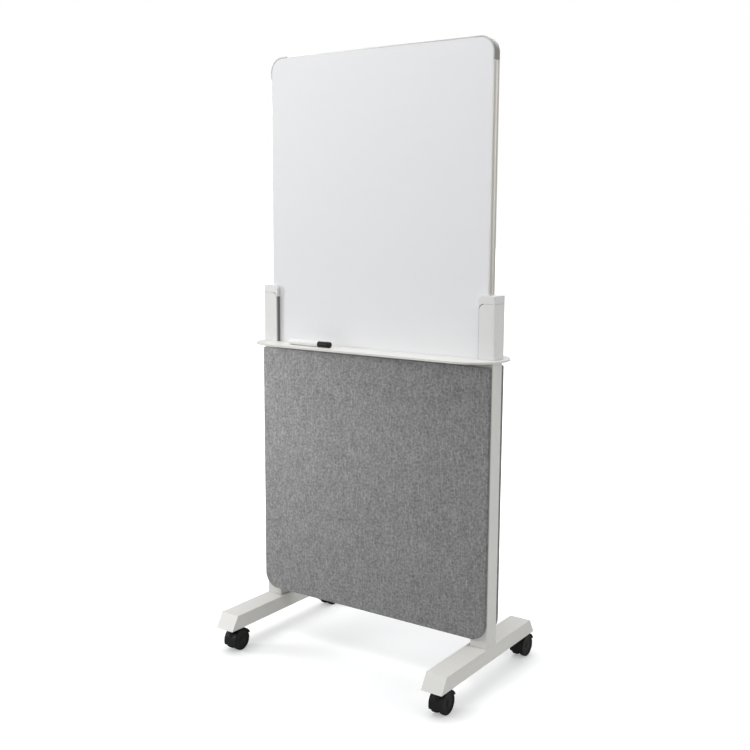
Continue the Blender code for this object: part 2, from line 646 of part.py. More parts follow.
def castor(side, side_label, end, end_label, stand, finishes):
    name = side_label + "_" + end_label + "_castor"
    swivel = (side * FOOT_X, end * SWIVEL_Y)
    castor_stem(name, swivel, stand, finishes["steel"])
    hood = castor_hood(name, swivel, stand, finishes["castor"])
    castor_axle(name, hood, finishes["steel"])
    for wheel_side, wheel_label in ((side, "outer"), (-side, "inner")):
        castor_wheel(wheel_side, name + "_" + wheel_label + "_wheel", hood, finishes["castor"])


# ---------------------------------------------------------------- marker

def marker(stand, finishes):
    """Lies on the tray along X; the cap pulls off toward +X."""
    axis_z = TRAY_TOP + GAP + MARKER_CAP_RADIUS
    lying = anchor("marker_lift", (MARKER_CENTRE_X, MARKER_Y, axis_z), stand)
    left, right = -MARKER_LENGTH / 2, MARKER_LENGTH / 2
    mouth = right - MARKER_CAP_LENGTH
    barrel_end = mouth - GAP
    floor = right - MARKER_CAP_FLOOR
    tip = floor - MARKER_CAP_FLOOR / 2
    nib = tip - MARKER_NIB_LENGTH
    body = MARKER_BARREL_RADIUS
    neck = MARKER_NECK_RADIUS
    barrel_profile = [(0, left), (body - MARKER_EDGE, left), (body, left + MARKER_EDGE), (body, barrel_end),
                      (neck, barrel_end), (neck, nib - MARKER_CONE), (MARKER_NIB_RADIUS, nib),
                      (MARKER_NIB_RADIUS, tip), (0, tip)]
    barrel = turned(barrel_profile, "X", WHEEL_ROUND)
    place("marker_barrel", barrel, finishes["marker_white"], lying, smooth=True)
    bore = MARKER_CAP_RADIUS - MARKER_CAP_WALL
    outer = MARKER_CAP_RADIUS
    cap_profile = [(0, floor), (bore, floor), (bore, mouth), (outer, mouth),
                   (outer, right - MARKER_EDGE), (outer - MARKER_EDGE, right), (0, right)]
    cap = turned(cap_profile, "X", WHEEL_ROUND)
    place("marker_cap", cap, finishes["marker_black"], lying, smooth=True)


# ---------------------------------------------------------------- the whole object

def make_finishes():
    return {
        "paint": finish("white_powder_coat", (0.78, 0.78, 0.76), 0.42),
        "bracket": finish("white_plastic", (0.80, 0.80, 0.80), 0.38),
        "writing": finish("white_writing_surface", (0.88, 0.88, 0.89), 0.12),
        "honeycomb": finish("board_core_fibre", (0.55, 0.44, 0.30), 0.90),
        "aluminium": finish("satin_aluminium", (0.62, 0.61, 0.57), 0.38, 1.0),
        "corner": finish("grey_corner_plastic", (0.22, 0.21, 0.20), 0.50),
        "felt": finish("grey_felt", (0.25, 0.25, 0.26), 0.95),
        "tape": finish("black_hook_tape", (0.03, 0.03, 0.03), 0.90),
        "plug": finish("black_plug_plastic", (0.04, 0.04, 0.04), 0.60),
        "castor": finish("black_castor_nylon", (0.015, 0.015, 0.015), 0.45),
        "steel": finish("zinc_plated_steel", (0.60, 0.60, 0.58), 0.35, 1.0),
        "marker_white": finish("marker_barrel_plastic", (0.85, 0.85, 0.85), 0.35),
        "marker_black": finish("marker_cap_plastic", (0.02, 0.02, 0.02), 0.35),
    }


def build():
    clear_scene()
    finishes = make_finishes()
    stand = anchor("stand", (0, POST_PLANE_Y, 0))
    for side, label in SIDES:
        foot(side, label, stand, finishes["paint"])
        post(side, label, stand, finishes["paint"])
        post_plug(side, label, stand, finishes["plug"])
        bracket(side, label, stand, finishes["bracket"])
        bracket_cap(side, label, stand, finishes["bracket"])
        for end, end_label in FACES:
            name = label + "_" + end_label
            foot_bolt(side, end, name, stand, finishes["steel"])
            tie_bolt(side, end, name, stand, finishes["steel"])
            hook_tape(end, side, name, stand, finishes["tape"])
            castor(side, label, end, end_label, stand, finishes)
    for end, end_label in FACES:
        felt_panel(end, end_label, stand, finishes["felt"])
    rail("upper_rail", POST_TOP - RAIL_HEIGHT, stand, finishes["paint"])
    rail("lower_rail", LOWER_RAIL_BOTTOM, stand, finishes["paint"])
    tray(stand, finishes["paint"])
    whiteboard(stand, finishes)
    marker(stand, finishes)


build()
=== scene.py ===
"""Looks of the rolling whiteboard: materials, fine surfaces, studio light and camera.

Metres, +Z up, the front faces -Y and left is -X.  The object's places are read from the boxes of the
parts in model.glb.
"""

import math

import bmesh
import bpy
from mathutils import Matrix, Vector, noise


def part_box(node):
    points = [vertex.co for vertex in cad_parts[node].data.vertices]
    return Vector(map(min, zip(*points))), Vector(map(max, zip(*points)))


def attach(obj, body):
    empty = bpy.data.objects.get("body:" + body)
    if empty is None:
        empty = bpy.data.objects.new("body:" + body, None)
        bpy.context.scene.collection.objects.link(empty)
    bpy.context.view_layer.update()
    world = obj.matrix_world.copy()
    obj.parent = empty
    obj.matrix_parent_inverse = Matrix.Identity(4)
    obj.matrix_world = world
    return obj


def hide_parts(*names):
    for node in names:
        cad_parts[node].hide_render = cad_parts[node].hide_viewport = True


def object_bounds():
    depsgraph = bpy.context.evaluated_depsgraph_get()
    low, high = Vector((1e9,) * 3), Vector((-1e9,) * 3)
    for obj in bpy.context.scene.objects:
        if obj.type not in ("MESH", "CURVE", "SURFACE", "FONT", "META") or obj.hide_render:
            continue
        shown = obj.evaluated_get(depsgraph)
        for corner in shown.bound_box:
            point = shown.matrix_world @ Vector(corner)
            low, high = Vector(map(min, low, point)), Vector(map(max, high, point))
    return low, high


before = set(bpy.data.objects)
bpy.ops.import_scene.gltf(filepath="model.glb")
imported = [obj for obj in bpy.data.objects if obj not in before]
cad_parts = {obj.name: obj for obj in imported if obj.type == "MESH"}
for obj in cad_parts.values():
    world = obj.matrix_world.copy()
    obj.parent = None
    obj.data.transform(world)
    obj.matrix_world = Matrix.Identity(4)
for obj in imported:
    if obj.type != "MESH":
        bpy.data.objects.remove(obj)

CAD_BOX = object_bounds()

SIDES = (("left", -1), ("right", 1))
ENDS = (("front", -1), ("rear", 1))

# ---------------------------------------------------------------- sizes of the fine surfaces

FELT_EDGE = 0.0022              # rounding of the panel's edges
FELT_CORNER = 0.045             # lower corners
FELT_TOP_CORNER = 0.003
FELT_STEP = 0.008               # spacing of the surface points
FELT_EDGE_ANGLES = (0, 25, 45, 65, 90)
FELT_BEND_ANGLES = range(24, 91, 6)
FELT_WAVE = 0.00025             # how far the pressed surface rises and falls
BROAD_WAVES = 14                # per metre
FINE_WAVES = 55
FINE_WAVE_SHARE = 0.5
WAVE_SUNK = 1.2                 # keeps the waves under the panel's outer face
PAINT_EDGE = 0.0012
TRAY_EDGE = 0.0016
BRACKET_EDGE = 0.0007
PLASTIC_EDGE = 0.0005
BOLT_EDGE = 0.0004
FINE_EDGE = 0.0003
SHARP_ANGLE = 32                # degrees: an edge sharper than this isn't part of a round stretch
LEVEL_ANGLE = 0.5               # faces closer than this are one plane
WELD_REACH = 0.00001

WHEEL_SIDES = 72
TREAD_ROUND = 0.003
AXLE_BORE = 0.0033              # radius
AXLE_BORE_DEPTH = 0.0106
# inner side of the tread: (depth under the tread, distance from the inner face)
WHEEL_SHOULDER = ((0.0045, 0.0), (0.0009, 0.0012), (0.0002, 0.004), (0.0, 0.007))
# outer face, from the rim over the dish to the hub cap: (radius, depth under the outer face)
WHEEL_FACE = (
    (0.0242, 0.0), (0.0236, 0.0004), (0.0232, 0.0016), (0.0226, 0.0017),
    (0.0150, 0.0016), (0.0090, 0.0014), (0.0084, 0.0013),
    (0.0080, 0.0008), (0.0074, 0.0003), (0.0040, 0.0), (0.0, 0.0),
)

MARKER_SIDES = 48
MARKER_NECK = 0.005             # radius, inside the cap
MARKER_NIB = 0.002
CAP_WALL = 0.0012
CAP_FLOOR = 0.004
CAP_STEP = 0.0004               # the grip is this much thinner
CAP_ROUND = 0.0014
CAP_RIB_RINGS = slice(8, 10)    # rings of the outline that the ribs rise on
CAP_RIB_PERIOD = 4

CORNER_LEG = 0.017              # straight stretch at each end
CORNER_PROUD = 0.0004           # past the board's edge
CORNER_LIP = 0.003              # over the writing sheets
CORNER_DEEP = 0.010             # between the sheets
CORNER_SHEET = 0.0016
CORNER_EDGE = 0.0016
CORNER_EDGE_ANGLES = (90, 67.5, 45, 22.5, 0)
CORNER_BREAK = 0.0003
CORNER_STEPS = 32

STRIP_THICKNESS = 0.0005        # dark strip of painted shade between a bracket's tab and the board
STRIP_REACH = 0.0032            # how far it shows past the tab
STRIP_UNDER_TAB = 0.012
STRIP_EDGE = 0.0001
LIP_DEPTH = 0.0075              # dark lip of painted shade along a tab's inner edge
LIP_GAP = 0.0002
LIP_EDGE = 0.0006

# ---------------------------------------------------------------- studio values

FLOOR_SIZE = 40.0
FLOOR_GAP = 0.0002              # under the wheels
FLOOR_COLOUR = (0.80, 0.805, 0.815)
FLOOR_CAST_COLOUR = (0.48, 0.48, 0.475)
FLOOR_GLOW_REACH = (0.4, 1.6)   # from the middle of the floor
FLOOR_GLOW_NEAR = 0.30          # as it is seen
FLOOR_GLOW_FAR = 1.0
FLOOR_GLOW_CAST = 0.08          # as it lights the object

ROOM_HEIGHTS = (-0.4, 0.9)
ROOM_LOW, ROOM_HIGH = 0.45, 0.73

CAMERA_LENS = 49.63
CAMERA_SENSOR = 36.0
CAMERA_PLACE = (1.5771, -2.2902, 1.2086)
CAMERA_TURNS = (34.723, -8.473, 0.287)      # yaw, pitch, roll
CAMERA_CLIP = (0.05, 100.0)

# name, place, target, size, power
SOFTBOXES = (
    ("top_light", (-0.4, -0.7, 3.6), (0.0, 0.0, 0.0), 2.2, 46.0),
    ("rear_light", (-0.2, 1.9, 2.6), (0.0, 0.0, 0.2), 1.6, 24.0),
    ("side_light", (3.0, 0.3, 1.6), (0.3, 0.0, 0.8), 1.4, 14.0),
)
KEY_LIGHT = ("key_light", (-4.0, -2.6, 1.7), (0.0, 0.0, 1.0), 1.2, 84.0)
FELT_LIGHT = ("felt_light", (-0.8, -0.8, 0.95), (-0.2, 0.0, 0.8), 0.5, 9.0)


# ---------------------------------------------------------------- node helpers

class Surface:
    """A Principled material and the few kinds of node its pattern is built from."""

    def __init__(self, name, colour, roughness, metallic=0.0):
        self.made = bpy.data.materials.new(name)
        self.made.use_nodes = True
        self.tree = self.made.node_tree
        self.shader = self.tree.nodes["Principled BSDF"]
        self.shader.inputs["Base Color"].default_value = (*colour, 1.0)
        self.shader.inputs["Roughness"].default_value = roughness
        self.shader.inputs["Metallic"].default_value = metallic
        self.place = self.tree.nodes.new("ShaderNodeTexCoord").outputs["Object"]

    def link(self, source, target):
        self.tree.links.new(source, target)

    def turned(self, scale=(1, 1, 1), turn=(0, 0, 0)):
        """The surface's own coordinates, turned by degrees and then stretched."""
        node = self.tree.nodes.new("ShaderNodeMapping")
        node.inputs["Rotation"].default_value = [math.radians(a) for a in turn]
        node.inputs["Scale"].default_value = scale
        self.link(self.place, node.inputs["Vector"])
        return node.outputs["Vector"]

    def grain(self, scale, detail=2.0, roughness=0.5, where=None, distortion=0.0):
        node = self.tree.nodes.new("ShaderNodeTexNoise")
        node.inputs["Scale"].default_value = scale
        node.inputs["Detail"].default_value = detail
        node.inputs["Roughness"].default_value = roughness
        node.inputs["Distortion"].default_value = distortion
        self.link(where or self.place, node.inputs["Vector"])
        return node.outputs["Fac"]

    def spread(self, value, low, high, to_low, to_high):
        node = self.tree.nodes.new("ShaderNodeMapRange")
        limits = {"From Min": low, "From Max": high, "To Min": to_low, "To Max": to_high}
        for socket, number in limits.items():
            node.inputs[socket].default_value = number
        self.link(value, node.inputs["Value"])
        return node.outputs["Result"]

    def maths(self, operation, a, b):
        node = self.tree.nodes.new("ShaderNodeMath")
        node.operation = operation
        for socket, value in zip(node.inputs, (a, b)):
            if isinstance(value, (int, float)):
                socket.default_value = value
            else:
                self.link(value, socket)
        return node.outputs["Value"]

    def blend(self, factor, first, second):
        node = self.tree.nodes.new("ShaderNodeMix")
        node.data_type = "RGBA"
        for socket, colour in ((6, first), (7, second)):
            if isinstance(colour, tuple):
                node.inputs[socket].default_value = (*colour, 1.0)
            else:
                self.link(colour, node.inputs[socket])
        self.link(factor, node.inputs[0])
        return node.outputs[2]

    def colour(self, value):
        self.link(value, self.shader.inputs["Base Color"])

    def gloss(self, value):
        self.link(value, self.shader.inputs["Roughness"])

    def relief(self, height, distance, strength=1.0):
        node = self.tree.nodes.new("ShaderNodeBump")
        node.inputs["Strength"].default_value = strength
        node.inputs["Distance"].default_value = distance
        self.link(height, node.inputs["Height"])
        self.link(node.outputs["Normal"], self.shader.inputs["Normal"])

    def set(self, **sockets):
        for name, value in sockets.items():
            self.shader.inputs[name.replace("_", " ")].default_value = value
        return self


def shade(colour, amount):
    return tuple(min(1.0, part * amount) for part in colour)


# ---------------------------------------------------------------- materials

def powder_coat():
    base = (0.76, 0.755, 0.725)
    surface = Surface("powder_coat", base, 0.42)
    cloud = surface.grain(7.0, 3.0)
    surface.colour(surface.blend(cloud, shade(base, 0.975), shade(base, 1.02)))
    peel = surface.grain(900.0, 2.0)
    surface.gloss(surface.spread(peel, 0.3, 0.7, 0.36, 0.50))
    surface.relief(peel, 0.00006, 0.6)
    return surface.made


def moulded(name, base, roughness, fine=1800.0, depth=0.00004, shine=0.5):
    """Moulded plastic with a spark-eroded grain."""
    surface = Surface(name, base, roughness)
    cloud = surface.grain(25.0, 3.0)
    surface.colour(surface.blend(cloud, shade(base, 0.95), shade(base, 1.04)))
    grain = surface.grain(fine, 3.0, 0.6)
    surface.gloss(surface.spread(grain, 0.3, 0.7, roughness - 0.06, roughness + 0.08))
    surface.relief(grain, depth, 0.7)
    return surface.set(Specular_IOR_Level=shine).made


def corner_plastic():
    """Dark grey on the edge of the board, with pale lips on its two faces."""
    base, lip = (0.29, 0.283, 0.27), (0.60, 0.60, 0.595)
    surface = Surface("corner_plastic", base, 0.46)
    split = surface.tree.nodes.new("ShaderNodeSeparateXYZ")
    surface.link(surface.tree.nodes.new("ShaderNodeNewGeometry").outputs["True Normal"], split.inputs[0])
    facing = surface.maths("MULTIPLY", split.outputs["Y"], split.outputs["Y"])
    grain = surface.grain(1800.0, 3.0, 0.6)
    mottled = surface.blend(grain, shade(base, 0.95), shade(base, 1.05))
    surface.colour(surface.blend(surface.spread(facing, 0.35, 0.65, 0.0, 1.0), mottled, lip))
    surface.relief(grain, 0.00004, 0.7)
    return surface.made


def enamel():
    """The glossy writing surface, with the faint dull streaks that wiping leaves."""
    base = (0.882, 0.887, 0.905)
    surface = Surface("writing_enamel", base, 0.12)
    wiped = surface.grain(5.0, 4.0, 0.6, surface.turned((1.0, 1.0, 5.0), (0, 24, 0)), 0.6)
    surface.gloss(surface.spread(wiped, 0.35, 0.75, 0.09, 0.17))
    surface.colour(surface.blend(wiped, shade(base, 1.0), shade(base, 0.985)))
    surface.relief(surface.grain(9.0, 1.0), 0.0004, 0.25)
    return surface.set(Coat_Weight=0.15, Coat_Roughness=0.06).made


def brushed(name, base, stretch, roughness=0.36):
    """Satin metal, drawn along one direction."""
    surface = Surface(name, base, roughness, 1.0)
    drawn = surface.grain(1.0, 4.0, 0.7, surface.turned(stretch))
    surface.colour(surface.blend(drawn, shade(base, 0.86), shade(base, 1.1)))
    surface.gloss(surface.spread(drawn, 0.3, 0.7, roughness - 0.08, roughness + 0.12))
    surface.relief(drawn, 0.00002, 0.5)
    return surface.made


def zinc():
    base = (0.62, 0.63, 0.64)
    surface = Surface("zinc_plate", base, 0.34, 1.0)
    spangle = surface.grain(260.0, 3.0, 0.6)
    surface.colour(surface.blend(spangle, shade(base, 0.85), shade(base, 1.1)))
    surface.gloss(surface.spread(spangle, 0.3, 0.7, 0.26, 0.45))
    return surface.made


def felt():
    """Pressed grey fibres: soft blotches, crossing light strands, dark specks and a nap."""
    dark, middle, light = (0.056, 0.056, 0.057), (0.168, 0.168, 0.169), (0.40, 0.40, 0.401)
    surface = Surface("pressed_felt", middle, 0.95)
    blotch = surface.grain(150.0, 3.0, 0.55, surface.turned((0.85, 1.0, 1.05), (0, 12, 0)), 0.4)
    cloud = surface.grain(38.0, 2.0, 0.5)
    strands = None
    for turn, width in ((38, 400.0), (-42, 350.0), (76, 440.0), (-70, 330.0)):
        where = surface.turned((width, width, width * 0.09), (0, turn, 0))
        lines = surface.grain(1.0, 2.0, 0.5, where, 0.35)
        strands = lines if strands is None else surface.maths("MAXIMUM", strands, lines)
    specks = surface.grain(300.0, 2.0, 0.6)
    tone = surface.maths("ADD", surface.spread(blotch, 0.34, 0.66, 0.0, 0.75),
                         surface.spread(cloud, 0.30, 0.70, 0.0, 0.25))
    body = surface.blend(tone, shade(middle, 0.58), shade(middle, 1.46))
    lit = surface.blend(surface.spread(strands, 0.60, 0.78, 0.0, 0.50), body, light)
    surface.colour(surface.blend(surface.spread(specks, 0.58, 0.70, 0.0, 0.60), lit, dark))
    surface.relief(surface.maths("ADD", strands, surface.maths("MULTIPLY", blotch, 1.5)), 0.0007, 0.8)
    return surface.set(Sheen_Weight=0.25, Sheen_Roughness=0.6, Specular_IOR_Level=0.15).made


def hook_pile():
    base = (0.030, 0.030, 0.031)
    surface = Surface("hook_pile", base, 0.9)
    pile = surface.grain(1500.0, 2.0)
    surface.colour(surface.blend(pile, shade(base, 0.5), shade(base, 1.8)))
    surface.relief(pile, 0.0004)
    return surface.made


def fibre_core():
    base = (0.50, 0.40, 0.27)
    surface = Surface("fibre_core", base, 0.9)
    fibre = surface.grain(1.0, 4.0, 0.6, surface.turned((40.0, 300.0, 300.0)))
    surface.colour(surface.blend(fibre, shade(base, 0.75), shade(base, 1.2)))
    surface.relief(fibre, 0.0003)
    return surface.made


def glossy_plastic(name, base, roughness, shine):
    """Polished plastic with a faint unevenness."""
    surface = Surface(name, base, roughness)
    cloud = surface.grain(60.0, 2.0)
    surface.colour(surface.blend(cloud, shade(base, 0.9), shade(base, 1.1)))
    surface.gloss(surface.spread(surface.grain(500.0), 0.3, 0.7, roughness - 0.05, roughness + 0.08))
    return surface.set(Specular_IOR_Level=shine).made


FINISH = {
    "paint": powder_coat(),
    "bracket": moulded("bracket_plastic", (0.80, 0.80, 0.795), 0.40),
    "enamel": enamel(),
    "upright_edge": brushed("edge_aluminium_upright", (0.86, 0.84, 0.78), (2400.0, 2400.0, 6.0)),
    "level_edge": brushed("edge_aluminium_level", (0.78, 0.77, 0.74), (6.0, 2400.0, 2400.0)),
    "corner": corner_plastic(),
    "felt": felt(),
    "hook": hook_pile(),
    "core": fibre_core(),
    "plug": moulded("plug_plastic", (0.035, 0.035, 0.035), 0.55),
    # painted shade: the dark grey of the strips and lips beside the tabs, where the board lies in the
    # tabs' shade
    "strip": moulded("painted_shade_grey", (0.19, 0.19, 0.19), 0.75),
    "zinc": zinc(),
    "hood": moulded("castor_hood_nylon", (0.007, 0.007, 0.0075), 0.5, 1200.0, 0.00008, 0.25),
    "wheel": moulded("castor_wheel_nylon", (0.009, 0.009, 0.0095), 0.55, 1500.0, 0.00006, 0.25),
    "barrel": glossy_plastic("marker_barrel", (0.82, 0.82, 0.82), 0.30, 0.5),
    "cap": glossy_plastic("marker_cap", (0.004, 0.004, 0.004), 0.30, 0.3),
}


# ---------------------------------------------------------------- CAD nodes that stay

def mesh_group(name, weld, angle):
    """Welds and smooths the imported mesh, or smooths it and keeps edges sharper than the angle."""
    group = bpy.data.node_groups.new(name, "GeometryNodeTree")
    group.interface.new_socket("Geometry", in_out="INPUT", socket_type="NodeSocketGeometry")
    group.interface.new_socket("Geometry", in_out="OUTPUT", socket_type="NodeSocketGeometry")
    last = group.nodes.new("NodeGroupInput").outputs[0]

    def then(kind, **sockets):
        node = group.nodes.new(kind)
        group.links.new(last, node.inputs[0])
        for socket, value in sockets.items():
            node.inputs[socket].default_value = value
        return node

    if weld:
        last = then("GeometryNodeMergeByDistance", Distance=WELD_REACH).outputs[0]
        last = then("GeometryNodeRemoveAttribute", Name="custom_normal").outputs[0]
    smooth = then("GeometryNodeSetShadeSmooth")
    smooth.domain = "FACE"
    last = smooth.outputs[0]
    if not weld:
        edge = group.nodes.new("GeometryNodeInputMeshEdgeAngle")
        sharper = group.nodes.new("FunctionNodeCompare")
        sharper.inputs[1].default_value = angle
        group.links.new(edge.outputs["Unsigned Angle"], sharper.inputs[0])
        sharp = then("GeometryNodeSetShadeSmooth")
        sharp.domain = "EDGE"
        sharp.inputs["Shade Smooth"].default_value = False
        group.links.new(sharper.outputs[0], sharp.inputs["Selection"])
        last = sharp.outputs[0]
    group.links.new(last, group.nodes.new("NodeGroupOutput").inputs[0])
    return group


WELDED = mesh_group("welded", True, 0.0)
SMOOTHED = mesh_group("smoothed", False, math.radians(SHARP_ANGLE))


def grouped(piece, group):
    piece.modifiers.new(group.name, "NODES").node_group = group


def softened(piece, width, segments=3):
    """Rounds every edge sharper than the round stretches are."""
    if width:
        edge = piece.modifiers.new("edges", "BEVEL")
        edge.width = width
        edge.segments = segments
        edge.limit_method = "ANGLE"
        edge.angle_limit = math.radians(SHARP_ANGLE)
        edge.miter_outer = "MITER_ARC"
    grouped(piece, SMOOTHED)
    if width:
        level = piece.modifiers.new("level_faces", "WEIGHTED_NORMAL")
        level.weight = 100
        level.keep_sharp = True


def coat(node, finish, width=0.0):
    """A CAD node keeps its mesh and gets its material and, where it shows, rounded edges."""
    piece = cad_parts[node]
    piece.data.materials.clear()
    piece.data.materials.append(FINISH[finish])
    grouped(piece, WELDED)
    flat = piece.modifiers.new("planes", "DECIMATE")
    flat.decimate_type = "DISSOLVE"
    flat.angle_limit = math.radians(LEVEL_ANGLE)
    softened(piece, width)


# ---------------------------------------------------------------- new pieces

def piece_from(name, bm, finish, body, nodes, smooth_angle=SHARP_ANGLE):
    """A mesh becomes a piece that rides on a body and stands for some CAD nodes."""
    bmesh.ops.recalc_face_normals(bm, faces=bm.faces)
    mesh = bpy.data.meshes.new(name)
    bm.to_mesh(mesh)
    bm.free()
    mesh.shade_smooth()
    mesh.set_sharp_from_angle(angle=math.radians(smooth_angle))
    mesh.materials.append(FINISH[finish])
    piece = bpy.data.objects.new(name, mesh)
    bpy.context.scene.collection.objects.link(piece)
    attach(piece, body)
    if nodes:
        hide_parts(*nodes)
    return piece


def arc(centre, radius, start, end, steps):
    angles = [math.radians(start + (end - start) * i / steps) for i in range(steps + 1)]
    return [(centre[0] + radius * math.cos(a), centre[1] + radius * math.sin(a)) for a in angles]


def lathe(bm, profile, sides, matrix):
    """Turns (radius, place) points about Z, then moves the result by a matrix."""
    rings = []
    for radius, place in profile:
        count = sides if radius > 0 else 1
        angles = [2 * math.pi * i / sides for i in range(count)]
        points = [Vector((radius * math.cos(a), radius * math.sin(a), place)) for a in angles]
        rings.append([bm.verts.new(matrix @ point) for point in points])
    for lower, upper in zip(rings, rings[1:]):
        for i in range(sides):
            j = (i + 1) % sides
            loop = [lower[i % len(lower)], lower[j % len(lower)],
                    upper[j % len(upper)], upper[i % len(upper)]]
            bm.faces.new(list(dict.fromkeys(loop)))
    return rings


def axis_x(centre, side=1):
    """Carries a turned shape's own +Z to the +X or -X side of a point."""
    return Matrix.Translation(centre) @ Matrix.Rotation(side * math.pi / 2, 4, "Y")


# ---------------------------------------------------------------- felt panels

def rounding(radius, angles):
    """How far in from the rim the points of a quarter turn lie."""
    return [radius * (1 - math.cos(math.radians(a))) for a in angles]


def felt_rows(low, high):
    """Heights of the rows: close together at the edges and round the lower corners."""
    edge = rounding(FELT_EDGE, FELT_EDGE_ANGLES)
    bend = rounding(FELT_CORNER, FELT_BEND_ANGLES)
    rows = [low + step for step in edge + bend]
    count = round((high - rows[-1] - FELT_EDGE) / FELT_STEP)
    start = rows[-1]
    rows += [start + (high - FELT_EDGE - start) * (i + 1) / count for i in range(count)]
    return rows + [high - step for step in reversed(edge[:-1])]


def felt_half_width(z, low, high, half):
    """Half the panel's width at a height, with its round corners."""
    for corner, inward in ((FELT_CORNER, z - low), (FELT_TOP_CORNER, high - z)):
        if inward < corner:
            half -= corner - math.sqrt(max(0.0, corner ** 2 - (corner - inward) ** 2))
    return half


def felt_panel(label, facing):
    node = label + "_felt_panel"
    low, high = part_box(node)
    centre_x, half = (low.x + high.x) / 2, (high.x - low.x) / 2
    outer, inner = (low.y, high.y) if facing < 0 else (high.y, low.y)
    edge = rounding(FELT_EDGE, FELT_EDGE_ANGLES)
    columns = round(2 * half / FELT_STEP)
    bm = bmesh.new()
    front, back = [], []
    for z in felt_rows(low.z, high.z):
        width = felt_half_width(z, low.z, high.z, half)
        inside = [-width + FELT_EDGE + 2 * (width - FELT_EDGE) * i / columns for i in range(1, columns)]
        across = [step - width for step in edge] + inside + [width - step for step in reversed(edge)]
        up = min(z - low.z, high.z - z)
        front_row, back_row = [], []
        for x in across:
            depth = FELT_EDGE - min(FELT_EDGE, up, width - abs(x))
            drop = FELT_EDGE - math.sqrt(FELT_EDGE ** 2 - depth ** 2)
            spot = Vector((x, facing, z))
            fine = FINE_WAVE_SHARE * noise.noise(spot * FINE_WAVES)
            wave = FELT_WAVE * (noise.noise(spot * BROAD_WAVES) + fine - WAVE_SUNK)
            calm = min(1.0, (FELT_EDGE - depth) / FELT_EDGE)
            front_row.append(bm.verts.new((centre_x + x, outer - facing * (drop - wave * calm), z)))
            back_row.append(bm.verts.new((centre_x + x, inner, z)))
        front.append(front_row)
        back.append(back_row)
    for grid, flip in ((front, facing > 0), (back, facing < 0)):
        for lower, upper in zip(grid, grid[1:]):
            for i in range(len(lower) - 1):
                loop = [lower[i], lower[i + 1], upper[i + 1], upper[i]]
                bm.faces.new(loop[::-1] if flip else loop)
    rims = [(front[0], back[0]), (front[-1], back[-1])]
    rims += [([row[end] for row in front], [row[end] for row in back]) for end in (0, -1)]
    for near, far in rims:
        for i in range(len(near) - 1):
            bm.faces.new((near[i], near[i + 1], far[i + 1], far[i]))
    panel = piece_from(label + "_felt", bm, "felt", "stand", [node], smooth_angle=50)
    return panel


# ---------------------------------------------------------------- castors

def wheel(name, body, side):
    """A wheel with a crowned tread, a dished outer face and a hub cap."""
    low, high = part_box(name)
    centre = (low + high) / 2
    radius, width = (high.z - low.z) / 2, high.x - low.x
    inner = low.x if side > 0 else high.x
    profile = [(0, AXLE_BORE_DEPTH), (AXLE_BORE, AXLE_BORE_DEPTH), (AXLE_BORE, 0.0)]
    profile += [(radius - under, place) for under, place in WHEEL_SHOULDER]
    profile += arc((radius - TREAD_ROUND, width - TREAD_ROUND), TREAD_ROUND, 0, 90, 6)
    profile += [(at, width - depth) for at, depth in WHEEL_FACE]
    bm = bmesh.new()
    lathe(bm, profile, WHEEL_SIDES, axis_x((inner, centre.y, centre.z), side))
    piece_from(name + "_moulding", bm, "wheel", body, [name], smooth_angle=40)


# ---------------------------------------------------------------- marker

def groove(radius, start, end, depth, slope):
    """Four outline points of a groove round a turned shape."""
    floor_radius = radius - depth
    return [(radius, start), (floor_radius, start + slope), (floor_radius, end - slope), (radius, end)]


def marker_barrel(y, z):
    """The barrel, its neck inside the cap and its nib, turned about the marker's axis."""
    low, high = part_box("marker_barrel")
    body = (high.z - low.z) / 2
    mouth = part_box("marker_cap")[0].x - low.x
    length = high.x - low.x
    outline = [(0, 0.0), (0.0045, 0.0), (0.0050, 0.0005), (body - 0.0010, 0.0008)]
    outline += arc((body - 0.0012, 0.0020), 0.0012, -80, 0, 4)
    outline += groove(body, 0.0086, 0.0098, 0.0004, 0.0004)
    outline += groove(body, mouth - 0.0108, mouth - 0.0096, 0.0006, 0.0003)
    outline += [(body, mouth - 0.0003), (MARKER_NECK, mouth - 0.0003)]
    outline += [(MARKER_NECK, length - 0.012), (MARKER_NIB, length - 0.009)]
    outline += [(MARKER_NIB, length - 0.001), (0.0012, length), (0, length)]
    bm = bmesh.new()
    lathe(bm, outline, MARKER_SIDES, axis_x((low.x, y, z)))
    piece_from("marker_body", bm, "barrel", "marker", ["marker_barrel"],
               smooth_angle=30)


def marker_cap(y, z):
    """A hollow cap with a thinner grip; its ribs rise from the mouth to the end of the grip."""
    low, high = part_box("marker_cap")
    radius = (high.z - low.z) / 2
    span = high.x - low.x
    bore = radius - CAP_WALL
    grip = radius - CAP_STEP
    outline = [(0.0, span - CAP_FLOOR), (bore, span - CAP_FLOOR), (bore, 0.0003)]
    outline += [(radius - 0.0009, 0.0), (radius - 0.0003, 0.0), (radius, 0.0004), (radius, 0.0040)]
    outline += [(grip, 0.0046), (grip, 0.0290), (radius, 0.0296)]
    outline += arc((radius - CAP_ROUND, span - CAP_ROUND), CAP_ROUND, 0, 90, 5)
    outline += [(0.0035, span), (0.0030, span - 0.0006), (0, span - 0.0006)]
    bm = bmesh.new()
    rings = lathe(bm, outline, MARKER_SIDES, axis_x((low.x, y, z)))
    axis = Vector((0, y, z))
    for loop in rings[CAP_RIB_RINGS]:
        for i, vert in enumerate(loop):
            if i % CAP_RIB_PERIOD < CAP_RIB_PERIOD // 2:
                across = Vector((0, vert.co.y, vert.co.z)) - axis
                vert.co += across.normalized() * CAP_STEP
    piece_from("marker_grip_cap", bm, "cap", "marker_cap", ["marker_cap"],
               smooth_angle=30)


def marker_pieces():
    """Both are turned about the cap's middle line."""
    low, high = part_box("marker_cap")
    y, z = (low.y + high.y) / 2, (low.z + high.z) / 2
    marker_barrel(y, z)
    marker_cap(y, z)
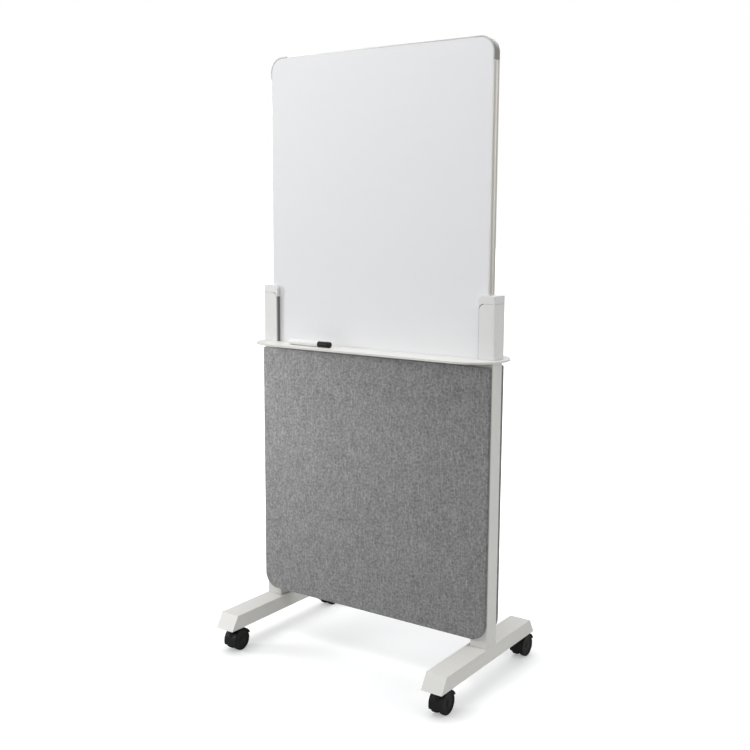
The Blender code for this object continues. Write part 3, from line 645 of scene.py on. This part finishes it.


# ---------------------------------------------------------------- board corners and strips of painted shade

def corner(vertical, label, x_side, z_side):
    """A quarter turn with short legs, rounded on its two outer edges."""
    node = vertical + "_" + label + "_corner"
    low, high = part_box(node)
    radius = high.x - low.x - CORNER_LEG - CORNER_PROUD
    outer_x = high.x if x_side > 0 else low.x
    outer_z = high.z if z_side > 0 else low.z
    inset = radius + CORNER_PROUD
    centre = Vector((outer_x - x_side * inset, (low.y + high.y) / 2, outer_z - z_side * inset))
    half = (high.y - low.y) / 2
    rounded = []
    for angle in CORNER_EDGE_ANGLES:
        turn = math.radians(angle)
        rounded.append((CORNER_EDGE - CORNER_EDGE * math.cos(turn) - CORNER_PROUD,
                        -half + CORNER_EDGE - CORNER_EDGE * math.sin(turn)))
    inside = [(CORNER_LIP - CORNER_BREAK, half), (CORNER_LIP, half - CORNER_BREAK),
              (CORNER_LIP, half - CORNER_SHEET), (CORNER_DEEP, half - CORNER_SHEET)]
    section = rounded + [(depth, -y) for depth, y in reversed(rounded)]
    section += inside + [(depth, -y) for depth, y in reversed(inside)]
    x_leg = Vector((-x_side * CORNER_LEG, 0, z_side * radius))
    z_leg = Vector((x_side * radius, 0, -z_side * CORNER_LEG))
    path = [(centre + z_leg, Vector((x_side, 0, 0)))]
    for i in range(CORNER_STEPS + 1):
        turn = math.pi / 2 * i / CORNER_STEPS
        outward = Vector((x_side * math.cos(turn), 0, z_side * math.sin(turn)))
        path.append((centre + outward * radius, outward))
    path.append((centre + x_leg, Vector((0, 0, z_side))))
    bm = bmesh.new()
    rings = []
    for point, outward in path:
        rings.append([bm.verts.new(point - outward * depth + Vector((0, y, 0))) for depth, y in section])
    for first, second in zip(rings, rings[1:]):
        for i in range(len(section)):
            j = (i + 1) % len(section)
            bm.faces.new((first[i], first[j], second[j], second[i]))
    bm.faces.new(rings[0])
    bm.faces.new(rings[-1])
    piece_from(vertical + "_" + label + "_corner_moulding", bm, "corner", "board",
               [node], smooth_angle=34)


def slab(across, depth, height):
    """A box from three (low, high) pairs."""
    bm = bmesh.new()
    bmesh.ops.create_cube(bm, size=1.0)
    for vert in bm.verts:
        vert.co = (across[vert.co.x > 0], depth[vert.co.y > 0], height[vert.co.z > 0])
    return bm


def painted_shade_strip(label, side, end_label, end):
    """A dark strip inside a tab: painted shade, standing for the tab's shadow on the board.

    Its lip is painted shade as well. It stands beside the tab's inner edge, under the skirt of the cap.
    """
    low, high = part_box(label + "_bracket")
    board_low, board_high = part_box("left_edge_profile")
    face = (board_low.y if end < 0 else board_high.y) + end * LIP_GAP
    tab = low.x if side > 0 else high.x
    name = label + "_" + end_label
    depth = sorted((face, face + end * STRIP_THICKNESS))
    across = sorted((tab - side * STRIP_REACH, tab + side * STRIP_UNDER_TAB))
    height = (low.z + LIP_GAP, high.z - LIP_GAP)
    strip = piece_from(name + "_painted_shade_strip", slab(across, depth, height), "strip", "stand",
                       [])
    softened(strip, STRIP_EDGE, 1)
    depth = sorted((face + end * (STRIP_THICKNESS + LIP_GAP), face + end * LIP_DEPTH))
    across = sorted((tab - side * STRIP_REACH, tab - side * LIP_GAP))
    height = (low.z + LIP_GAP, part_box(label + "_bracket_cap")[0].z - LIP_GAP)
    lip = piece_from(name + "_painted_shade_lip", slab(across, depth, height), "strip", "stand",
                     [])
    softened(lip, LIP_EDGE, 2)


# ---------------------------------------------------------------- the object

for label, side in SIDES:
    coat(label + "_foot", "paint", PAINT_EDGE)
    coat(label + "_post", "paint", 0.0)
    coat(label + "_post_plug", "plug", PLASTIC_EDGE)
    coat(label + "_bracket", "bracket", BRACKET_EDGE)
    coat(label + "_bracket_cap", "bracket", BRACKET_EDGE)
    coat(label + "_edge_profile", "upright_edge", FINE_EDGE)
    for end_label, end in ENDS:
        name = label + "_" + end_label
        coat(name + "_foot_bolt", "zinc", BOLT_EDGE)
        coat(name + "_tie_bolt", "zinc", BOLT_EDGE)
        coat(name + "_hook_tape", "hook", FINE_EDGE)
        coat(name + "_castor_stem", "zinc", FINE_EDGE)
        coat(name + "_castor_axle", "zinc", FINE_EDGE)
        coat(name + "_castor_hood", "hood", PLASTIC_EDGE)
        for place, out in (("outer", side), ("inner", -side)):
            wheel_name = name + "_castor_" + place + "_wheel"
            wheel(wheel_name, wheel_name, out)
        painted_shade_strip(label, side, end_label, end)
for vertical, up in (("bottom", -1), ("top", 1)):
    coat(vertical + "_edge_profile", "level_edge", FINE_EDGE)
    for label, side in SIDES:
        corner(vertical, label, side, up)
for end_label, _ in ENDS:
    coat(end_label + "_writing_sheet", "enamel", FINE_EDGE)
FELTS = [felt_panel(end_label, end) for end_label, end in ENDS]
coat("board_core", "core")
coat("upper_rail", "paint", PAINT_EDGE)
coat("lower_rail", "paint", PAINT_EDGE)
coat("tray", "paint", TRAY_EDGE)
marker_pieces()


# ---------------------------------------------------------------- studio

def floor():
    """A pale floor for soft shadows, which glows up to white away from the object where it is seen."""
    mesh = bpy.data.meshes.new("studio_floor")
    bm = bmesh.new()
    bmesh.ops.create_grid(bm, x_segments=1, y_segments=1, size=FLOOR_SIZE)
    bm.to_mesh(mesh)
    bm.free()
    plane = bpy.data.objects.new("studio_floor", mesh)
    bpy.context.scene.collection.objects.link(plane)
    plane.location.z = CAD_BOX[0].z - FLOOR_GAP
    paper = Surface("floor_paper", FLOOR_COLOUR, 0.9).set(Specular_IOR_Level=0.0)
    paper.shader.inputs["Emission Color"].default_value = (1.0, 1.0, 1.0, 1.0)
    reach = paper.tree.nodes.new("ShaderNodeVectorMath")
    reach.operation = "LENGTH"
    paper.link(paper.place, reach.inputs[0])
    glow = paper.spread(reach.outputs["Value"], *FLOOR_GLOW_REACH, FLOOR_GLOW_NEAR, FLOOR_GLOW_FAR)
    camera_ray = paper.tree.nodes.new("ShaderNodeLightPath").outputs["Is Camera Ray"]
    extra = paper.maths("MULTIPLY", camera_ray, paper.maths("SUBTRACT", glow, FLOOR_GLOW_CAST))
    paper.link(paper.maths("ADD", extra, FLOOR_GLOW_CAST), paper.shader.inputs["Emission Strength"])
    paper.colour(paper.blend(camera_ray, FLOOR_CAST_COLOUR, FLOOR_COLOUR))
    mesh.materials.append(paper.made)


def surroundings():
    """A pale room: brighter above, and plain white where it is seen directly."""
    world = bpy.data.worlds.new("studio")
    world.use_nodes = True
    bpy.context.scene.world = world
    tree = world.node_tree
    tree.nodes.clear()
    coordinates = tree.nodes.new("ShaderNodeTexCoord")
    split = tree.nodes.new("ShaderNodeSeparateXYZ")
    tree.links.new(coordinates.outputs["Generated"], split.inputs[0])
    height = tree.nodes.new("ShaderNodeMapRange")
    limits = zip(("From Min", "From Max", "To Min", "To Max"), (*ROOM_HEIGHTS, ROOM_LOW, ROOM_HIGH))
    for socket, value in limits:
        height.inputs[socket].default_value = value
    tree.links.new(split.outputs["Z"], height.inputs["Value"])
    light = tree.nodes.new("ShaderNodeBackground")
    tree.links.new(height.outputs["Result"], light.inputs["Strength"])
    seen = tree.nodes.new("ShaderNodeBackground")
    seen.inputs["Strength"].default_value = 1.0
    seen.inputs["Color"].default_value = (1.0, 1.0, 1.0, 1.0)
    path = tree.nodes.new("ShaderNodeLightPath")
    mix = tree.nodes.new("ShaderNodeMixShader")
    tree.links.new(path.outputs["Is Camera Ray"], mix.inputs[0])
    tree.links.new(light.outputs[0], mix.inputs[1])
    tree.links.new(seen.outputs[0], mix.inputs[2])
    output = tree.nodes.new("ShaderNodeOutputWorld")
    tree.links.new(mix.outputs[0], output.inputs["Surface"])


def softbox(name, place, target, size, power, only=()):
    """A round soft light; it lights either everything or only the pieces given."""
    lamp = bpy.data.lights.new(name, "AREA")
    lamp.shape = "DISK"
    lamp.size = size
    lamp.energy = power
    holder = bpy.data.objects.new(name, lamp)
    bpy.context.scene.collection.objects.link(holder)
    holder.location = place
    holder.rotation_euler = (Vector(target) - Vector(place)).to_track_quat("-Z", "Y").to_euler()
    if only:
        group = bpy.data.collections.new(name + "_lights_these")
        for piece in only:
            group.objects.link(piece)
        holder.light_linking.receiver_collection = group


def camera():
    view = bpy.data.cameras.new("view")
    view.lens = CAMERA_LENS
    view.sensor_width = CAMERA_SENSOR
    view.clip_start, view.clip_end = CAMERA_CLIP
    holder = bpy.data.objects.new("view", view)
    bpy.context.scene.collection.objects.link(holder)
    yaw, pitch, roll = (math.radians(a) for a in CAMERA_TURNS)
    turn = Matrix.Rotation(yaw, 4, "Z") @ Matrix.Rotation(math.pi / 2 + pitch, 4, "X")
    holder.matrix_world = Matrix.Translation(CAMERA_PLACE) @ turn @ Matrix.Rotation(roll, 4, "Z")
    bpy.context.scene.camera = holder


floor()
surroundings()
softbox(*KEY_LIGHT)
softbox(*FELT_LIGHT, FELTS)
for values in SOFTBOXES:
    softbox(*values)
camera()
bpy.context.scene.view_settings.view_transform = "Standard"
